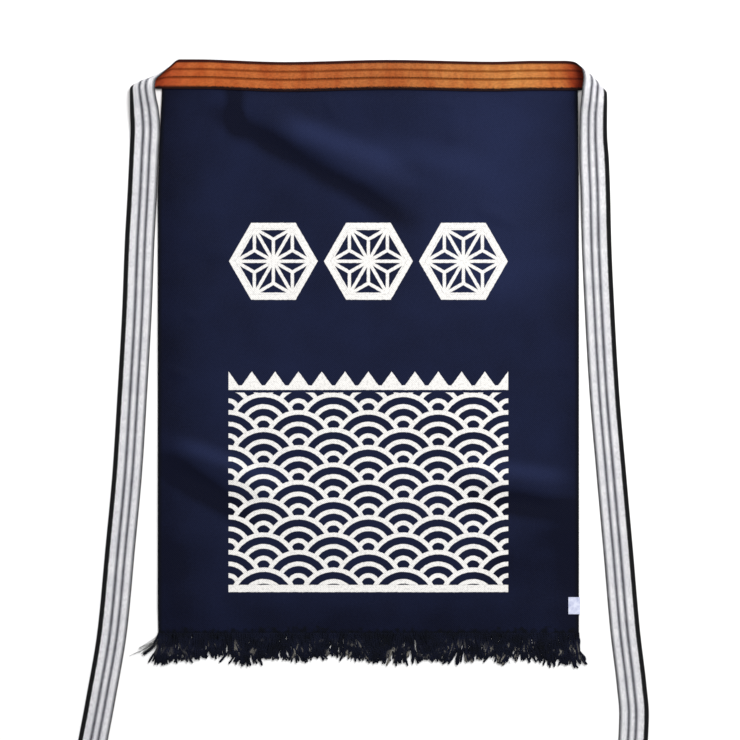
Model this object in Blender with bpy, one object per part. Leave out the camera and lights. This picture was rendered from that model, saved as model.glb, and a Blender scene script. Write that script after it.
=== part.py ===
"""Shop apron: a canvas waist apron with a woven tape sewn along its top, lying flat and face up.

The origin is the middle of the canvas on its underside. X runs to the right as one looks at the
apron's face, Y runs up to the waistband and Z away from the floor.
Every cloth piece is a mid surface on a grid that gets its wall along its own normals.
"""
import math

import bpy
import numpy as np

# Driving sizes in metres
CANVAS_WIDTH = 0.470
CANVAS_HEIGHT = 0.6215
CANVAS_THICK = 0.0015
TAPE_WIDTH = 0.033
TAPE_THICK = 0.0014
TAPE_OVERLAP = 0.0144
LEFT_TIE_DROP = 0.776
RIGHT_TIE_DROP = 0.776
LEFT_TIE_SPREAD = 0.0592
RIGHT_TIE_SPREAD = 0.0432
FRINGE_LENGTH = 0.036
FRINGE_BACKING = 0.004
LOCK_PITCH = 0.0107
LOCK_WIDTH = 0.0094
LOCK_THICK = 0.003
LABEL_LENGTH = 0.019
LABEL_COVER = 0.0118
LABEL_THICK = 0.001
LABEL_BEVEL = 0.00045
LABEL_ABOVE_HEM = 0.022
PIECE_GAP = 0.0003
CANVAS_CELL = 0.0150
SHARP_ANGLE = math.radians(40)

# Soft creases of the canvas. start and end are (across, up) places of the crest as shares of the
# half width and half height, height and reach are in metres: how far the crest stands up and how
# far its slopes run to each side.
CREASES = [
    # start,          end,             height, reach
    ((-0.625, 0.907), (0.273, 0.547), 0.0048, 0.030),
    ((-0.980, -0.308), (-0.359, -0.530), 0.0040, 0.026),
    ((0.400, -0.419), (0.970, -0.487), 0.0036, 0.024),
    ((0.401, 0.940), (0.405, 0.740), 0.0012, 0.016),
]
CREASE_FADE = 0.28
BAND_FADE = 0.012

# How far the canvas's sides draw in, as shares of its width
CANVAS_SIDES = [
    # up, left_in, right_in
    (-1.00, 0.0010, 0.0000),
    (-0.90, 0.0000, 0.0000),
    (0.59, 0.0000, 0.0000),
    (0.74, 0.0035, 0.0010),
    (0.93, 0.0095, 0.0024),
    (1.00, 0.0095, 0.0024),
]

# The waist stretch of the tape: how far it dips below its line, as shares of the tape's width
WAIST_SWAY = [
    # across, dip
    (-0.80, -0.03),
    (-0.40, 0.06),
    (0.10, -0.01),
    (0.60, 0.05),
    (0.78, 0.02),
]

# The corner roll, row by row from the waist to the tie. Each row is a straight line across the
# tape, from its inner (top) edge to its outer (bottom) edge. out is measured from the canvas's
# side edge, down from the tape's top line and lift from the waist's level, all as shares of the
# tape's width. bow is how far the middle of the line swells outwards, steps how many strips
# follow the row.
LEFT_CORNER = [
    # in_out, in_down, in_lift, out_out, out_down, out_lift, bow, steps
    (-1.10, -0.03, 0.00, -0.55, 0.97, 0.00, 0.00, 3),
    (-0.75, -0.03, 0.02, -0.10, 0.97, 0.00, 0.00, 4),
    (-0.44, 0.23, 0.17, 0.36, 0.94, 0.00, 0.02, 4),
    (-0.12, 0.55, 0.36, 0.70, 0.87, 0.01, 0.06, 3),
    (0.03, 0.73, 0.48, 0.87, 0.89, 0.04, 0.09, 3),
    (0.05, 0.95, 0.53, 0.93, 1.00, 0.09, 0.07, 4),
    (0.02, 1.27, 0.44, 0.93, 1.31, 0.11, 0.04, 3),
    (-0.05, 1.66, 0.25, 0.93, 1.70, 0.08, 0.02, 3),
    (-0.09, 2.25, 0.08, 0.92, 2.29, 0.02, 0.00, 2),
]
RIGHT_CORNER = [
    (-0.95, 0.02, 0.00, -0.40, 1.02, 0.00, 0.00, 3),
    (-0.50, 0.02, 0.02, 0.04, 1.02, 0.00, 0.00, 4),
    (-0.22, 0.06, 0.12, 0.42, 1.02, 0.00, 0.02, 3),
    (-0.03, 0.20, 0.27, 0.64, 1.01, 0.01, 0.05, 3),
    (0.08, 0.38, 0.42, 0.80, 1.02, 0.02, 0.08, 3),
    (0.11, 0.64, 0.50, 0.88, 1.05, 0.05, 0.08, 3),
    (0.07, 0.98, 0.53, 0.93, 1.13, 0.09, 0.06, 4),
    (0.04, 1.38, 0.42, 0.94, 1.46, 0.11, 0.04, 3),
    (0.01, 1.84, 0.20, 0.94, 1.90, 0.08, 0.02, 3),
    (0.01, 2.50, 0.08, 0.95, 2.54, 0.02, 0.00, 2),
]

# The ties below the roll. down is a share of the tie's drop, out a share of its spread, and
# in_rest and out_rest say how far each edge has sunk from the waist's level to the floor.
LEFT_TIE = [
    # down, out, in_rest, out_rest, steps
    (0.130, -0.025, 0.0, 1.0, 2),
    (0.190, 0.012, 0.0, 1.0, 3),
    (0.260, 0.064, 1.0, 1.0, 2),
    (0.360, 0.115, 1.0, 1.0, 3),
    (0.475, 0.200, 1.0, 1.0, 3),
    (0.590, 0.295, 1.0, 1.0, 3),
    (0.705, 0.435, 1.0, 1.0, 3),
    (0.820, 0.580, 1.0, 1.0, 3),
    (0.915, 0.790, 1.0, 1.0, 3),
    (1.000, 1.000, 1.0, 1.0, 0),
]
RIGHT_TIE = [
    (0.140, 0.010, 0.0, 1.0, 2),
    (0.190, 0.045, 0.0, 1.0, 3),
    (0.260, 0.075, 1.0, 1.0, 2),
    (0.360, 0.155, 1.0, 1.0, 3),
    (0.475, 0.275, 1.0, 1.0, 3),
    (0.590, 0.450, 1.0, 1.0, 3),
    (0.705, 0.635, 1.0, 1.0, 3),
    (0.820, 0.815, 1.0, 1.0, 3),
    (0.900, 0.985, 1.0, 1.0, 2),
    (0.940, 1.045, 1.0, 1.0, 2),
    (1.000, 1.000, 1.0, 1.0, 0),
]
TAPE_STRIPS = 6
WAIST_STEPS = 4
WAIST_END_STEPS = 3

# Where the fringe is shorter or leans: a row for each stretch of its width
FRINGE_SHAPE = [
    # across, length share, lean share of the length
    (-1.00, 0.92, -0.30),
    (-0.94, 1.00, -0.12),
    (-0.87, 0.86, -0.04),
    (-0.76, 0.80, 0.02),
    (-0.67, 0.64, 0.05),
    (-0.62, 1.04, -0.08),
    (-0.49, 0.78, 0.04),
    (-0.40, 0.92, -0.03),
    (-0.22, 0.70, 0.02),
    (0.00, 0.88, -0.04),
    (0.14, 0.96, 0.04),
    (0.27, 0.82, 0.02),
    (0.42, 0.92, -0.04),
    (0.58, 0.74, -0.08),
    (0.70, 0.96, 0.03),
    (0.76, 0.80, -0.03),
    (0.92, 1.05, 0.06),
    (1.00, 0.94, 0.17),
]
# Each lock has six sides. The corners at its sides lie at these shares of its thickness, and it
# is never wider than LOCK_FILL of the pitch. Lengths and leans vary by these swings: a share, and
# the turn from one lock to the next.
LOCK_SIDE_LOW = 0.3
LOCK_SIDE_HIGH = 0.7
LOCK_FILL = 0.9
LENGTH_SWINGS = [(0.03, 2.4), (0.02, 5.1)]
LEAN_SWING = (0.05, 1.7)
LOCK_RINGS = [
    # down share, width share, thickness share
    (0.18, 0.96, 0.80),
    (0.55, 1.00, 1.00),
    (0.88, 0.72, 0.70),
    (1.00, 0.24, 0.30),
]

HALF_WIDTH = CANVAS_WIDTH / 2
HALF_HEIGHT = CANVAS_HEIGHT / 2
WAIST_TOP = HALF_HEIGHT + TAPE_WIDTH - TAPE_OVERLAP
WAIST_LOW = WAIST_TOP - (1 + max(dip for _, dip in WAIST_SWAY)) * TAPE_WIDTH
WAIST_LEVEL = CANVAS_THICK + PIECE_GAP + TAPE_THICK / 2
FLOOR_LEVEL = TAPE_THICK / 2


def clear_scene():
    for old in list(bpy.data.objects):
        bpy.data.objects.remove(old, do_unlink=True)


def make_material(name, colour, roughness):
    material = bpy.data.materials.new(name)
    material.use_nodes = True
    shader = material.node_tree.nodes["Principled BSDF"]
    shader.inputs["Base Color"].default_value = (*colour, 1.0)
    shader.inputs["Roughness"].default_value = roughness
    shader.inputs["Metallic"].default_value = 0.0
    return material


def make_object(name, points, faces, material):
    mesh = bpy.data.meshes.new(name)
    mesh.from_pydata([tuple(p) for p in points], [], faces)
    mesh.validate()
    mesh.shade_smooth()
    mesh.set_sharp_from_angle(angle=SHARP_ANGLE)
    mesh.materials.append(material)
    piece = bpy.data.objects.new(name, mesh)
    bpy.context.scene.collection.objects.link(piece)
    return piece


def closed_slab(upper, lower):
    """Points and faces of the solid between two grids of the same shape, rows by columns.

    The walk along the rows and then the columns turns anticlockwise seen from the upper side.
    """
    rows, columns = upper.shape[:2]
    points = np.concatenate([upper.reshape(-1, 3), lower.reshape(-1, 3)])
    below = rows * columns

    def at(row, column):
        return row * columns + column

    faces = []
    for row in range(rows - 1):
        for column in range(columns - 1):
            corner = (at(row, column), at(row + 1, column), at(row + 1, column + 1), at(row, column + 1))
            faces.append(corner)
            faces.append(tuple(below + index for index in reversed(corner)))
    rim = [at(row, 0) for row in range(rows)]
    rim += [at(rows - 1, column) for column in range(1, columns)]
    rim += [at(row, columns - 1) for row in range(rows - 2, -1, -1)]
    rim += [at(0, column) for column in range(columns - 2, 0, -1)]
    for first, second in zip(rim, rim[1:] + rim[:1]):
        faces.append((second, first, below + first, below + second))
    return points, faces


def crease_height(x, y):
    """Height of the canvas's underside over the floor: cosine ridges along the creases."""
    height = np.zeros_like(x)
    for start, end, crest, reach in CREASES:
        x0, y0 = start[0] * HALF_WIDTH, start[1] * HALF_HEIGHT
        x1, y1 = end[0] * HALF_WIDTH, end[1] * HALF_HEIGHT
        length = math.hypot(x1 - x0, y1 - y0)
        along = ((x - x0) * (x1 - x0) + (y - y0) * (y1 - y0)) / length**2
        across = ((y - y0) * (x1 - x0) - (x - x0) * (y1 - y0)) / length
        rise = np.clip(np.minimum(along, 1 - along) / CREASE_FADE, 0, 1)
        rise = rise * rise * (3 - 2 * rise)
        slope = np.cos(np.clip(across / reach, -1, 1) * math.pi / 2) ** 2
        height = height + crest * rise * slope
    return height * np.clip((WAIST_LOW - y) / BAND_FADE, 0, 1)


def draw_in(x, y):
    """The x of a canvas point once the sides are drawn in as CANVAS_SIDES says."""
    up = y / HALF_HEIGHT
    places, left, right = np.transpose(CANVAS_SIDES)
    left_in = np.interp(up, places, left) * CANVAS_WIDTH
    right_in = np.interp(up, places, right) * CANVAS_WIDTH
    share = x / HALF_WIDTH
    return x + left_in * np.clip(-share, 0, 1) - right_in * np.clip(share, 0, 1)


def build_canvas(material):
    columns = round(CANVAS_WIDTH / CANVAS_CELL) + 1
    rows = round(CANVAS_HEIGHT / CANVAS_CELL) + 1
    x, y = np.meshgrid(
        np.linspace(-HALF_WIDTH, HALF_WIDTH, columns),
        np.linspace(-HALF_HEIGHT, HALF_HEIGHT, rows),
        indexing="ij",
    )
    x = draw_in(x, y)
    height = crease_height(x, y)
    lower = np.stack([x, y, height], axis=-1)
    upper = np.stack([x, y, height + CANVAS_THICK], axis=-1)
    points, faces = closed_slab(upper, lower)
    return make_object("canvas_panel", points, faces, material)


def smooth_rows(rows, steps):
    """Cubic curve through rows of numbers, with steps[i] pieces between row i and row i + 1.

    The parameter is the distance between rows. Each slope is the harmonic mean of the two rises
    beside it, or zero where they turn back, so that no column runs past the values in its rows.
    """
    rows = np.array(rows, float)
    gaps = np.linalg.norm(np.diff(rows[:, :6], axis=0), axis=1)
    place = np.concatenate([[0.0], np.cumsum(gaps)])
    rises = np.diff(rows, axis=0) / gaps[:, None]
    before, after = rises[:-1], rises[1:]
    same_way = before * after > 0
    total = np.where(same_way, before + after, 1.0)
    slopes = np.concatenate([rises[:1], np.where(same_way, 2 * before * after / total, 0.0), rises[-1:]])
    result = []
    for index, count in enumerate(steps[: len(rows) - 1]):
        gap = place[index + 1] - place[index]
        s = np.linspace(0, 1, count, endpoint=False)[:, None]
        result.append(
            (1 + 2 * s) * (1 - s) ** 2 * rows[index]
            + s * (1 - s) ** 2 * gap * slopes[index]
            + s**2 * (3 - 2 * s) * rows[index + 1]
            + s**2 * (s - 1) * gap * slopes[index + 1]
        )
    result.append(rows[-1:])
    return np.concatenate(result)


def side_rows(side, corner, tie, drop, spread):
    """Lines across the tape from the waist to a tie's end: inner point, outer point and bow."""
    rows, steps = [], []
    for in_out, in_down, in_lift, out_out, out_down, out_lift, bow, count in corner:
        rows.append((
            side * (HALF_WIDTH + in_out * TAPE_WIDTH), WAIST_TOP - in_down * TAPE_WIDTH,
            WAIST_LEVEL + in_lift * TAPE_WIDTH,
            side * (HALF_WIDTH + out_out * TAPE_WIDTH), WAIST_TOP - out_down * TAPE_WIDTH,
            WAIST_LEVEL + out_lift * TAPE_WIDTH,
            bow * TAPE_WIDTH,
        ))
        steps.append(count)
    sink = WAIST_LEVEL - FLOOR_LEVEL
    for down, out, in_rest, out_rest, count in tie:
        inner = HALF_WIDTH + out * spread
        y = WAIST_TOP - down * drop
        rows.append((
            side * inner, y, WAIST_LEVEL - in_rest * sink,
            side * (inner + TAPE_WIDTH), y, WAIST_LEVEL - out_rest * sink,
            0.0,
        ))
        steps.append(count)
    return rows, steps


def tape_rows():
    """The whole tape, from the left tie's end over the waist to the right tie's end."""
    left, left_steps = side_rows(-1, LEFT_CORNER, LEFT_TIE, LEFT_TIE_DROP, LEFT_TIE_SPREAD)
    right, right_steps = side_rows(1, RIGHT_CORNER, RIGHT_TIE, RIGHT_TIE_DROP, RIGHT_TIE_SPREAD)
    waist = []
    for across, dip in WAIST_SWAY:
        top = WAIST_TOP - dip * TAPE_WIDTH
        x = across * HALF_WIDTH
        waist.append((x, top, WAIST_LEVEL, x, top - TAPE_WIDTH, WAIST_LEVEL, 0.0))
    rows = left[::-1] + waist + right
    steps = left_steps[:-1][::-1] + [WAIST_END_STEPS]
    steps += [WAIST_STEPS] * (len(waist) - 1) + [WAIST_END_STEPS] + right_steps[:-1]
    return smooth_rows(rows, steps)


def build_tape(material):
    """Mid surface ruled between the inner and the outer edge, swollen by the bow."""
    rows = tape_rows()
    inner, outer, bow = rows[:, None, 0:3], rows[:, None, 3:6], rows[:, None, 6:7]
    share = np.linspace(0, 1, TAPE_STRIPS + 1)[None, :, None]
    flat = inner + (outer - inner) * share
    face_out = surface_normals(flat)
    middle = flat - face_out * bow * 4 * share * (1 - share)
    wall = surface_normals(middle) * TAPE_THICK / 2
    points, faces = closed_slab(middle - wall, middle + wall)
    return make_object("tie_band", points, faces, material)


def surface_normals(grid):
    """Unit normals of a grid, on the side that faces up along the waist."""
    along = np.gradient(grid, axis=0)
    across = np.gradient(grid, axis=1)
    normal = np.cross(across, along)
    return normal / np.linalg.norm(normal, axis=-1, keepdims=True)


def fringe_row(across):
    """Length and lean of the lock at this share of the half width."""
    places = [row[0] for row in FRINGE_SHAPE]
    length = np.interp(across, places, [row[1] for row in FRINGE_SHAPE])
    lean = np.interp(across, places, [row[2] for row in FRINGE_SHAPE])
    return float(length), float(lean)


def build_fringe(material):
    """A backing strip along the canvas's lower edge with six-sided locks drawn out of it."""
    top = -HALF_HEIGHT - PIECE_GAP
    root = top - FRINGE_BACKING
    count = int(CANVAS_WIDTH / LOCK_PITCH)
    pitch = CANVAS_WIDTH / count
    half = min(LOCK_WIDTH, LOCK_FILL * pitch) / 2
    points, faces = [], []

    def add(x, y, z):
        points.append((x, y, z))
        return len(points) - 1

    def column(x):
        """Four points of the strip at x: top edge and root, each low and high."""
        return (add(x, top, 0), add(x, top, CANVAS_THICK), add(x, root, 0), add(x, root, CANVAS_THICK))

    columns = [column(-HALF_WIDTH)]
    for index in range(count):
        middle = -HALF_WIDTH + (index + 0.5) * pitch
        first, centre, last = column(middle - half), column(middle), column(middle + half)
        columns += [first, centre, last]
        ring = (first[2], centre[2], last[2], last[3], centre[3], first[3])
        length_share, lean = fringe_row(middle / HALF_WIDTH)
        uneven = 1 + sum(swing * math.sin(turn * index) for swing, turn in LENGTH_SWINGS)
        length = FRINGE_LENGTH * length_share * uneven
        sway = lean + LEAN_SWING[0] * math.sin(LEAN_SWING[1] * index)
        for down, width_share, thick_share in LOCK_RINGS:
            x = middle + sway * length * down
            y = root - (length - FRINGE_BACKING) * down
            reach, thick = half * width_share, LOCK_THICK * thick_share
            side_low, side_high = LOCK_SIDE_LOW * thick, LOCK_SIDE_HIGH * thick
            following = (
                add(x - reach, y, side_low), add(x, y, 0), add(x + reach, y, side_low),
                add(x + reach, y, side_high), add(x, y, thick), add(x - reach, y, side_high),
            )
            for a, b, c, d in zip(ring, ring[1:] + ring[:1], following[1:] + following[:1], following):
                faces.append((a, b, c, d))
            ring = following
        faces.append(ring)
    columns.append(column(HALF_WIDTH))
    for place, (near, far) in enumerate(zip(columns, columns[1:])):
        faces.append((near[0], near[1], far[1], far[0]))
        faces.append((near[1], near[3], far[3], far[1]))
        faces.append((near[0], far[0], far[2], near[2]))
        if place % 3 == 0:
            faces.append((near[2], far[2], far[3], near[3]))
    faces.append(tuple(columns[0][i] for i in (0, 2, 3, 1)))
    faces.append(tuple(columns[-1][i] for i in (0, 1, 3, 2)))
    return make_object("fringe", points, faces, material)


def build_label(material):
    """A tag laid on the face and bent down over the canvas's right edge."""
    low = -HALF_HEIGHT + LABEL_ABOVE_HEM
    inner_x = HALF_WIDTH + PIECE_GAP
    face = CANVAS_THICK + PIECE_GAP
    outline = [
        (HALF_WIDTH - LABEL_COVER, face),
        (inner_x, face),
        (inner_x, 0.0),
        (inner_x + LABEL_THICK, 0.0),
        (inner_x + LABEL_THICK, face + LABEL_THICK - LABEL_BEVEL),
        (inner_x + LABEL_THICK - LABEL_BEVEL, face + LABEL_THICK),
        (HALF_WIDTH - LABEL_COVER, face + LABEL_THICK),
    ]
    count = len(outline)
    points = [(x, low + end * LABEL_LENGTH, z) for end in (0, 1) for x, z in outline]
    faces = [tuple(range(count)), tuple(reversed(range(count, 2 * count)))]
    for index in range(count):
        after = (index + 1) % count
        faces.append((after, index, count + index, count + after))
    return make_object("side_label", points, faces, material)


def main():
    clear_scene()
    canvas = make_material("navy_canvas", (0.014, 0.018, 0.045), 0.9)
    tape = make_material("woven_cotton_tape", (0.55, 0.18, 0.07), 0.8)
    yarn = make_material("black_cotton_yarn", (0.010, 0.011, 0.016), 0.9)
    tag = make_material("pale_woven_label", (0.72, 0.78, 0.86), 0.8)
    build_canvas(canvas)
    build_tape(tape)
    build_fringe(yarn)
    build_label(tag)


main()
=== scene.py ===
"""Looks of the shop apron: printed canvas, striped tape folded into two ties, loose yarn fringe.

Sizes are in metres in the part's frame: the origin is the middle of the canvas on its underside,
X runs to the right of the apron's face, Y up to the waistband and Z away from the floor.
"""

import functools
import math

import bpy
import numpy as np
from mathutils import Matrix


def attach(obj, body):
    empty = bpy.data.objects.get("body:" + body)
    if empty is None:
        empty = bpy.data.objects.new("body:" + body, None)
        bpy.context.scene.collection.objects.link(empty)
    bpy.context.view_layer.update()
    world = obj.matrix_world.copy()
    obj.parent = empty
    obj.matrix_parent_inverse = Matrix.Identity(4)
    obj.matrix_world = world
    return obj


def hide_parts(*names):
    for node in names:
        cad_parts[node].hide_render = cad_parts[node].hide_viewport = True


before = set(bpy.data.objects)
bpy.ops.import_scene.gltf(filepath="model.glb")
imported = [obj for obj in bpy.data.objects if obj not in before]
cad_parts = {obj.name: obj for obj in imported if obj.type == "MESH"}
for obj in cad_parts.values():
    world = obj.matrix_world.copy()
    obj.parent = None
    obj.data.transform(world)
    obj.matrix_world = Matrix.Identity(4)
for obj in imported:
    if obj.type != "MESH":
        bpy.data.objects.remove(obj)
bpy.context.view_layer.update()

# The apron's own sizes, as its solids have them
CANVAS_WIDTH = 0.470
CANVAS_HEIGHT = 0.6215
CANVAS_THICK = 0.0015
TAPE_WIDTH = 0.033
TAPE_THICK = 0.0014
TAPE_OVERLAP = 0.0144
TIE_DROP = 0.776
LEFT_TIE_SPREAD = 0.0592
RIGHT_TIE_SPREAD = 0.0432
FRINGE_LENGTH = 0.036
LABEL_LENGTH = 0.019
LABEL_COVER = 0.0118
LABEL_THICK = 0.001
LABEL_ABOVE_HEM = 0.022
PIECE_GAP = 0.0003
HALF_WIDTH = CANVAS_WIDTH / 2
HALF_HEIGHT = CANVAS_HEIGHT / 2

# Steps of the grids, fine enough for smooth folds at the picture's scale
CANVAS_CELL = 0.0026
TAPE_CELL = 0.0018
SHARP_ANGLE = math.radians(40)

# Creases of the canvas. start and end are (across, up) places of the crest as shares of the half
# width and half height, height and reach are in metres.
CREASES = [
    # start,          end,             height, reach
    ((-0.625, 0.907), (0.273, 0.547), 0.0048, 0.030),
    ((-0.980, -0.308), (-0.359, -0.530), 0.0040, 0.026),
    ((0.400, -0.419), (0.970, -0.487), 0.0036, 0.024),
    ((0.401, 0.940), (0.405, 0.740), 0.0012, 0.016),
]
# Small wrinkles, which only the looks have
WRINKLES = [
    # start,         end,             height, reach
    ((-0.21, 0.96), (-0.16, 0.84), 0.0011, 0.009),
    ((-0.97, -0.05), (-0.83, -0.08), 0.0012, 0.010),
    ((-0.88, 0.15), (-0.80, 0.13), 0.0010, 0.009),
    ((0.48, 0.54), (0.74, 0.46), 0.0013, 0.013),
    ((0.90, -0.04), (1.02, -0.09), 0.0012, 0.010),
    ((-0.95, 0.46), (-0.62, 0.35), 0.0012, 0.022),
    ((0.15, -0.86), (0.55, -0.80), 0.0011, 0.020),
]
# Share of its length over which a ridge fades at each end
CREASE_FADE = 0.28
# The relief fades out over these lengths: to nothing at the band, and the wrinkles and waves to
# a part of their height at the sides and the hem
BAND_FADE = 0.012
SIDE_FADE, SIDE_PART = 0.02, 0.25
HEM_FADE, HEM_PART = 0.03, 0.1
# Slow waves of the whole cloth, which only the looks have
SWELLS = [
    # waves per metre across, up, turn, height
    (5.0, 3.0, 0.4, 0.00050),
    (-3.5, 6.5, 1.9, 0.00045),
    (9.0, -4.0, 2.7, 0.00028),
    (6.0, 11.0, 4.1, 0.00022),
]
# Painted light and shade on the canvas: each ridge makes the colour lighter or darker than DYE_BASE,
# a share of the way from the dark colour to the light one. The lighter ones are painted highlights on
# the creases' crests and a broad painted sheen at the upper right. The darker ones are painted shade
# in the creases' valleys, along the band, at both sides and towards the hem.
DYE_BASE = 0.30
PAINTED_LIGHT_MARKS = [
    # start,          end,            lighter by, reach
    ((0.58, 1.10), (0.58, 0.06), 0.29, 0.125),
    ((-0.48, 0.86), (0.26, 0.65), 0.42, 0.022),
    ((-0.20, 0.70), (0.32, 0.61), 0.16, 0.020),
    ((-0.14, 0.79), (0.64, 0.66), 0.20, 0.026),
    ((-0.90, 0.948), (0.34, 0.42), -0.40, 0.021),
    ((-0.668, 1.22), (-0.635, 0.74), -0.42, 0.016),
    ((-1.20, 1.00), (0.40, 1.00), -0.14, 0.034),
    ((-0.98, -0.29), (-0.32, -0.47), 0.34, 0.015),
    ((-1.06, -0.34), (-0.46, -0.64), -0.46, 0.023),
    ((0.34, -0.38), (1.02, -0.44), 0.30, 0.016),
    ((0.34, -0.49), (1.35, -0.61), -0.44, 0.022),
    ((0.66, -0.64), (1.40, -0.66), -0.24, 0.026),
    ((-1.06, 2.20), (-1.06, -2.20), -0.26, 0.095),
    ((1.06, 2.20), (1.06, -2.20), -0.20, 0.060),
    ((0.40, -0.74), (1.40, -0.74), -0.26, 0.050),
    ((-1.40, -0.72), (-0.50, -0.72), -0.16, 0.040),
    ((-1.20, -1.00), (1.20, -1.00), -0.24, 0.090),
]
# How far the canvas's sides draw in, as shares of its width
CANVAS_SIDES = [
    # up, left_in, right_in
    (-1.00, 0.0010, 0.0000),
    (-0.90, 0.0000, 0.0000),
    (0.59, 0.0000, 0.0000),
    (0.74, 0.0035, 0.0010),
    (0.93, 0.0095, 0.0024),
    (1.00, 0.0095, 0.0024),
]
# The waist stretch of the tape: how far it dips below its line, as shares of the tape's width
WAIST_SWAY = [
    # across, dip
    (-0.80, -0.03),
    (-0.40, 0.06),
    (0.10, -0.01),
    (0.60, 0.05),
    (0.78, 0.02),
]
# The corner rolls, row by row from the waist to the tie, each row a line across the tape from its
# inner to its outer edge. out is measured from the canvas's side, down from the tape's top line,
# lift from the waist's level, bow is the line's swell: all shares of the tape's width.
LEFT_CORNER = [
    # in_out, in_down, in_lift, out_out, out_down, out_lift, bow
    (-1.10, -0.03, 0.00, -0.55, 0.97, 0.00, 0.00),
    (-0.75, -0.03, 0.02, -0.10, 0.97, 0.00, 0.00),
    (-0.44, 0.23, 0.17, 0.36, 0.94, 0.00, 0.02),
    (-0.12, 0.55, 0.36, 0.70, 0.87, 0.01, 0.06),
    (0.03, 0.73, 0.48, 0.87, 0.89, 0.04, 0.09),
    (0.05, 0.95, 0.53, 0.93, 1.00, 0.09, 0.07),
    (0.02, 1.27, 0.44, 0.93, 1.31, 0.11, 0.04),
    (-0.05, 1.66, 0.25, 0.93, 1.70, 0.08, 0.02),
    (-0.09, 2.25, 0.08, 0.92, 2.29, 0.02, 0.00),
]
RIGHT_CORNER = [
    (-0.95, 0.02, 0.00, -0.40, 1.02, 0.00, 0.00),
    (-0.50, 0.02, 0.02, 0.04, 1.02, 0.00, 0.00),
    (-0.22, 0.06, 0.12, 0.42, 1.02, 0.00, 0.02),
    (-0.03, 0.20, 0.27, 0.64, 1.01, 0.01, 0.05),
    (0.08, 0.38, 0.42, 0.80, 1.02, 0.02, 0.08),
    (0.11, 0.64, 0.50, 0.88, 1.05, 0.05, 0.08),
    (0.07, 0.98, 0.53, 0.93, 1.13, 0.09, 0.06),
    (0.04, 1.38, 0.42, 0.94, 1.46, 0.11, 0.04),
    (0.01, 1.84, 0.20, 0.94, 1.90, 0.08, 0.02),
    (0.01, 2.50, 0.08, 0.95, 2.54, 0.02, 0.00),
]
# The ties below the roll. down is a share of the drop, out a share of the spread, and rest says
# how far each edge has sunk from the waist's level to the floor.
LEFT_TIE = [
    # down, out, in_rest, out_rest
    (0.130, -0.025, 0.0, 1.0),
    (0.190, 0.012, 0.0, 1.0),
    (0.260, 0.064, 1.0, 1.0),
    (0.360, 0.115, 1.0, 1.0),
    (0.475, 0.200, 1.0, 1.0),
    (0.590, 0.295, 1.0, 1.0),
    (0.705, 0.435, 1.0, 1.0),
    (0.820, 0.580, 1.0, 1.0),
    (0.915, 0.790, 1.0, 1.0),
    (1.000, 1.000, 1.0, 1.0),
]
RIGHT_TIE = [
    (0.140, 0.010, 0.0, 1.0),
    (0.190, 0.045, 0.0, 1.0),
    (0.260, 0.075, 1.0, 1.0),
    (0.360, 0.155, 1.0, 1.0),
    (0.475, 0.275, 1.0, 1.0),
    (0.590, 0.450, 1.0, 1.0),
    (0.705, 0.635, 1.0, 1.0),
    (0.820, 0.815, 1.0, 1.0),
    (0.900, 0.985, 1.0, 1.0),
    (0.940, 1.045, 1.0, 1.0),
    (1.000, 1.000, 1.0, 1.0),
]
ROW_STEPS = 24
WAIST_TOP = HALF_HEIGHT + TAPE_WIDTH - TAPE_OVERLAP
WAIST_LOW = WAIST_TOP - (1 + max(dip for _, dip in WAIST_SWAY)) * TAPE_WIDTH
WAIST_LEVEL = CANVAS_THICK + PIECE_GAP + TAPE_THICK / 2
FLOOR_LEVEL = TAPE_THICK / 2
# Places across the tape, close together at the selvedges, which are rounded over SELVEDGE_ROUND
TAPE_SHARES = [
    0, 0.008, 0.022, 0.05, 0.12, 0.22, 0.34, 0.46, 0.58, 0.70, 0.80, 0.89, 0.95, 0.978, 0.992, 1,
]
SELVEDGE_ROUND = 0.0007
# Share of the wall that is left at the very edge
SELVEDGE_LEAST = 0.35

# Where the fringe is shorter or leans: a row for each stretch of its width
FRINGE_SHAPE = [
    # across, length share, lean share of the length
    (-1.00, 0.92, -0.30),
    (-0.94, 1.00, -0.12),
    (-0.87, 0.86, -0.04),
    (-0.76, 0.80, 0.02),
    (-0.67, 0.64, 0.05),
    (-0.62, 1.04, -0.08),
    (-0.49, 0.78, 0.04),
    (-0.40, 0.92, -0.03),
    (-0.22, 0.70, 0.02),
    (0.00, 0.88, -0.04),
    (0.14, 0.96, 0.04),
    (0.27, 0.82, 0.02),
    (0.42, 0.92, -0.04),
    (0.58, 0.74, -0.08),
    (0.70, 0.96, 0.03),
    (0.76, 0.80, -0.03),
    (0.92, 1.05, 0.06),
    (1.00, 0.94, 0.17),
]
# Length and lean of each lock beside the rows above: sines of the lock's number
LOCK_COUNT = 43
LOCK_LENGTHS = [(0.03, 2.4), (0.02, 5.1)]
LOCK_LEANS = [(0.05, 1.7), (0.32, 7.3)]
LOCK_CURL = 0.0020
# A yarn's radius, the length in which its two plies turn once, the corners of its section, how
# far the plies stand out as a share of the radius, the kink that weaving left, how far it rises
# and falls, and the shares of its level and its radius that it loses towards its tip
YARN_RADIUS = 0.0012
YARN_TWIST = 0.0052
YARN_SIDES = 7
YARN_LOBE = 0.18
YARN_KINK = 0.0008
YARN_RIPPLE = 0.00025
YARN_SINK = 0.4
TIP_TAPER, TIP_FROM = 0.3, 0.93
# The length of a yarn that the hem hides, how unevenly the yarns leave it and how near the
# canvas's side the last one may, both as shares of the half width
HEM_TUCK = 0.0012
HEM_UNEVEN = 0.0016
HEM_LIMIT = 0.996
# Step of the golden section, which keeps neighbouring yarns at different levels
LEVEL_STEP = 0.382
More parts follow.
